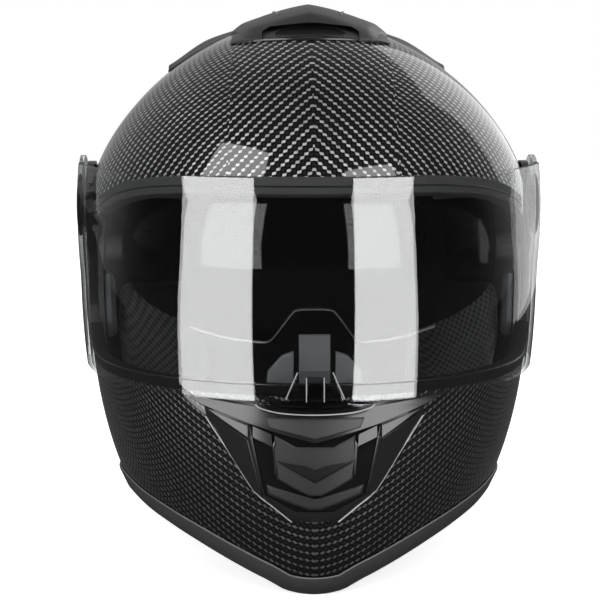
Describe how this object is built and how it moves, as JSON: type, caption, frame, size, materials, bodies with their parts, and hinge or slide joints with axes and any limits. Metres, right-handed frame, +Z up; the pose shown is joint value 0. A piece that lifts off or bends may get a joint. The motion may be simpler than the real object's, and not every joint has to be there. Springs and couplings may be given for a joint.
{
  "type": "modular motorcycle helmet",
  "caption": "Modular full-face helmet with a flip-up chin bar, clear visor, drop-down sun visor, vents, padded liner and quick-release strap.",
  "frame": {"origin": "centre of the footprint box, on the table that the helmet stands on", "axes": "+Z up, the face looks towards -Y, +X towards the wearer's left"},
  "size_m": [0.251, 0.3382, 0.2903],
  "materials": {
    "carbon": "woven carbon fibre under clear lacquer",
    "black_rubber": "satin black rubber",
    "foam": "fine moulded foam",
    "padding": "brushed knitted lining",
    "mesh_fabric": "spacer mesh",
    "satin_black": "satin",
    "gloss_black": "gloss",
    "grey_plastic": "matt grey",
    "smoke": "smoked polycarbonate",
    "clear": "clear polycarbonate",
    "steel": "brushed",
    "chrome": "polished",
    "webbing": "woven webbing",
    "red_plastic": "satin red"
  },
  "bodies": {
    "shell": {"outer_shell": "carbon", "shell_trim": "black_rubber", "brow_gasket": "black_rubber", "foam_liner": "foam", "crown_padding": "padding", "cheek_pad_left": "mesh_fabric", "cheek_pad_right": "mesh_fabric", "neck_roll": "padding", "port_side_trims": "grey_plastic", "top_vent_hood": "satin_black", "rear_spoiler": "satin_black", "pivot_pins": "steel", "striker_pins": "steel", "sun_visor_studs": "satin_black", "sun_slider_rail": "satin_black", "strap_left": "webbing", "strap_right": "webbing", "strap_rivets": "steel", "strap_tongue": "steel", "buckle_body": "steel"},
    "chin": {"chin_bar": "carbon", "hinge_plates": "steel", "chin_trim": "black_rubber", "sill_seal": "black_rubber", "chin_liner": "padding", "chin_vent_frame": "gloss_black", "breath_guard": "grey_plastic", "visor_catch": "chrome", "latch_housing": "satin_black", "hook_pins": "steel", "visor_hubs": "satin_black", "pivot_caps": "satin_black"},
    "clear_visor": {"visor": "clear", "visor_tab": "clear"},
    "sun_shade": {"sun_visor": "smoke"},
    "shade_slider": {"sun_slider": "satin_black"},
    "crown_shutter": {"top_vent_shutter": "satin_black"},
    "chin_flap": {"chin_vent_flap": "gloss_black"},
    "release_button": {"latch_button": "red_plastic"},
    "hooks": {"latch_hooks": "steel"},
    "strap_lever": {"buckle_lever": "red_plastic"}
  },
  "joints": [
    {"name": "chin_flip", "type": "hinge", "parent": "shell", "child": "chin", "pos_m": [0, -0.024, 0.182], "axis": [-1, 0, 0], "range_deg": [0, 90]},
    {"name": "visor_turn", "type": "hinge", "parent": "chin", "child": "clear_visor", "pos_m": [0, -0.024, 0.182], "axis": [1, 0, 0], "range_deg": [-50, 0]},
    {"name": "sun_visor_turn", "type": "hinge", "parent": "shell", "child": "sun_shade", "pos_m": [0, -0.054, 0.162], "axis": [-1, 0, 0], "range_deg": [0, 50]},
    {"name": "sun_slider_travel", "type": "slide", "parent": "shell", "child": "shade_slider", "axis": [-0.1183, 0.993, 0], "range_m": [0, 0.022]},
    {"name": "top_shutter_travel", "type": "slide", "parent": "shell", "child": "crown_shutter", "axis": [0, 0.944, 0.33], "range_m": [0, 0.006]},
    {"name": "chin_flap_travel", "type": "slide", "parent": "chin", "child": "chin_flap", "axis": [0, -0.077, -0.997], "range_m": [0, 0.005]},
    {"name": "button_press", "type": "slide", "parent": "chin", "child": "release_button", "axis": [0, 0, -1], "range_m": [0, 0.004], "stiffness_N_per_m": 800, "springref_m": -0.002},
    {"name": "hook_turn", "type": "hinge", "parent": "chin", "child": "hooks", "pos_m": [0, -0.078, 0.066], "axis": [1, 0, 0], "range_deg": [0, 20]},
    {"name": "buckle_lever_turn", "type": "hinge", "parent": "shell", "child": "strap_lever", "pos_m": [0.052, -0.006, 0.0116], "axis": [0, 1, 0], "range_deg": [0, 35], "stiffness_Nm_per_rad": 0.05, "springref_deg": -5.73}
  ],
  "couplings": [
    {"joint": "sun_slider_travel", "follows": "sun_visor_turn", "m_per_rad": 0.02521},
    {"joint": "hook_turn", "follows": "button_press", "rad_per_m": 87.266}
  ]
}
